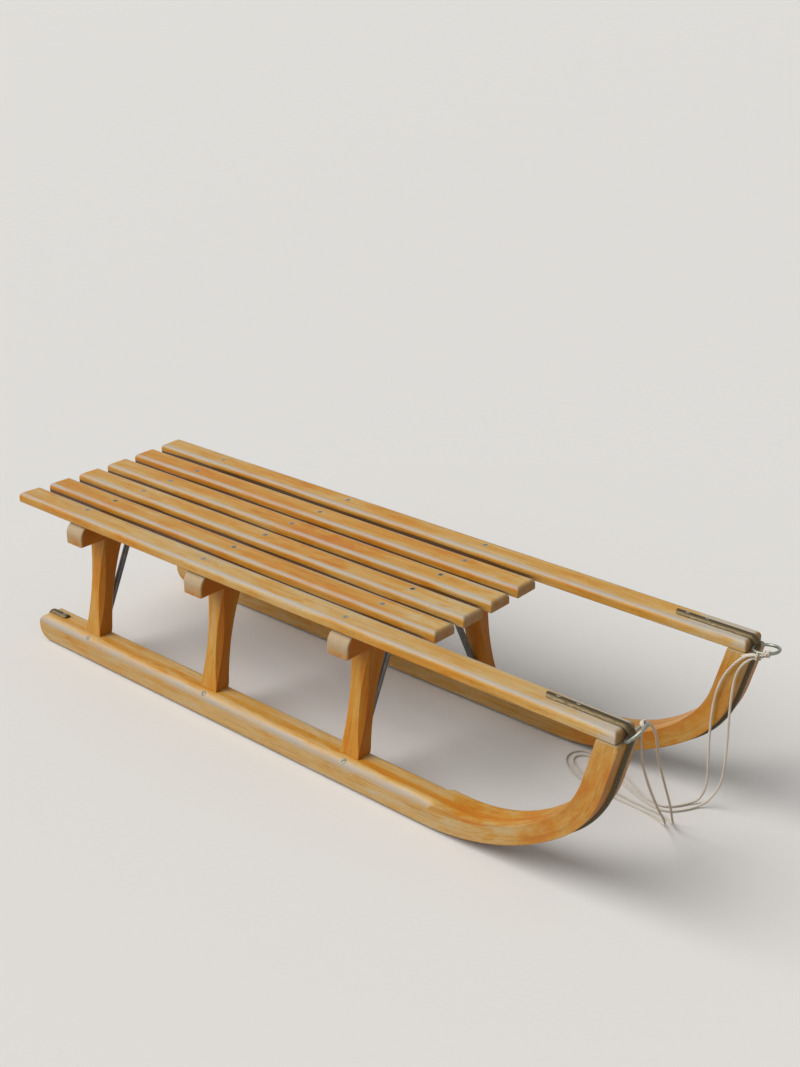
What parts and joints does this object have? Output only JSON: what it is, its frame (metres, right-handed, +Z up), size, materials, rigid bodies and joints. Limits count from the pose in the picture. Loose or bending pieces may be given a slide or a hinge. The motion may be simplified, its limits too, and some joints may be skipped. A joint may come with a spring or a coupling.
{
  "type": "wooden sled",
  "caption": "Slatted wooden toboggan on trestles, with bent-up runners shod in half-round iron, tow rings and a doubled cord that lies on the ground.",
  "frame": {"origin": "on the ground under the middle of the sled's length and width", "axes": "+X towards the bent-up horns, +Y to the sled's left, +Z up"},
  "size_m": [1.0952, 0.321, 0.2475],
  "materials": {
    "slat_wood": "satin varnished beech, worn paler on top",
    "bolster_wood": "satin varnished beech, pale end grain",
    "leg_wood": "satin varnished beech",
    "runner_wood": "satin varnished steam-bent beech",
    "iron_strap": "dark browned half-round steel, polished by wear underneath",
    "stay_steel": "bare grey steel bar",
    "ring_wire": "bright zinc-plated wire",
    "tow_cord": "off-white braided cord"
  },
  "bodies": {
    "root": {"slat_1": "slat_wood", "slat_2": "slat_wood", "slat_3": "slat_wood", "slat_4": "slat_wood", "slat_5": "slat_wood", "slat_6": "slat_wood", "bolster_rear": "bolster_wood", "bolster_middle": "bolster_wood", "bolster_front": "bolster_wood", "leg_rear_right": "leg_wood", "leg_rear_left": "leg_wood", "leg_middle_right": "leg_wood", "leg_middle_left": "leg_wood", "leg_front_right": "leg_wood", "leg_front_left": "leg_wood", "runner_right": "runner_wood", "runner_left": "runner_wood", "iron_right": "iron_strap", "iron_left": "iron_strap", "stay_rear_right": "stay_steel", "stay_rear_left": "stay_steel", "stay_front_right": "stay_steel", "stay_front_left": "stay_steel", "ring_right": "ring_wire", "ring_left": "ring_wire", "hitch_right": "tow_cord", "hitch_left": "tow_cord", "rope_outer": "tow_cord", "rope_inner": "tow_cord"}
  },
  "joints": []
}
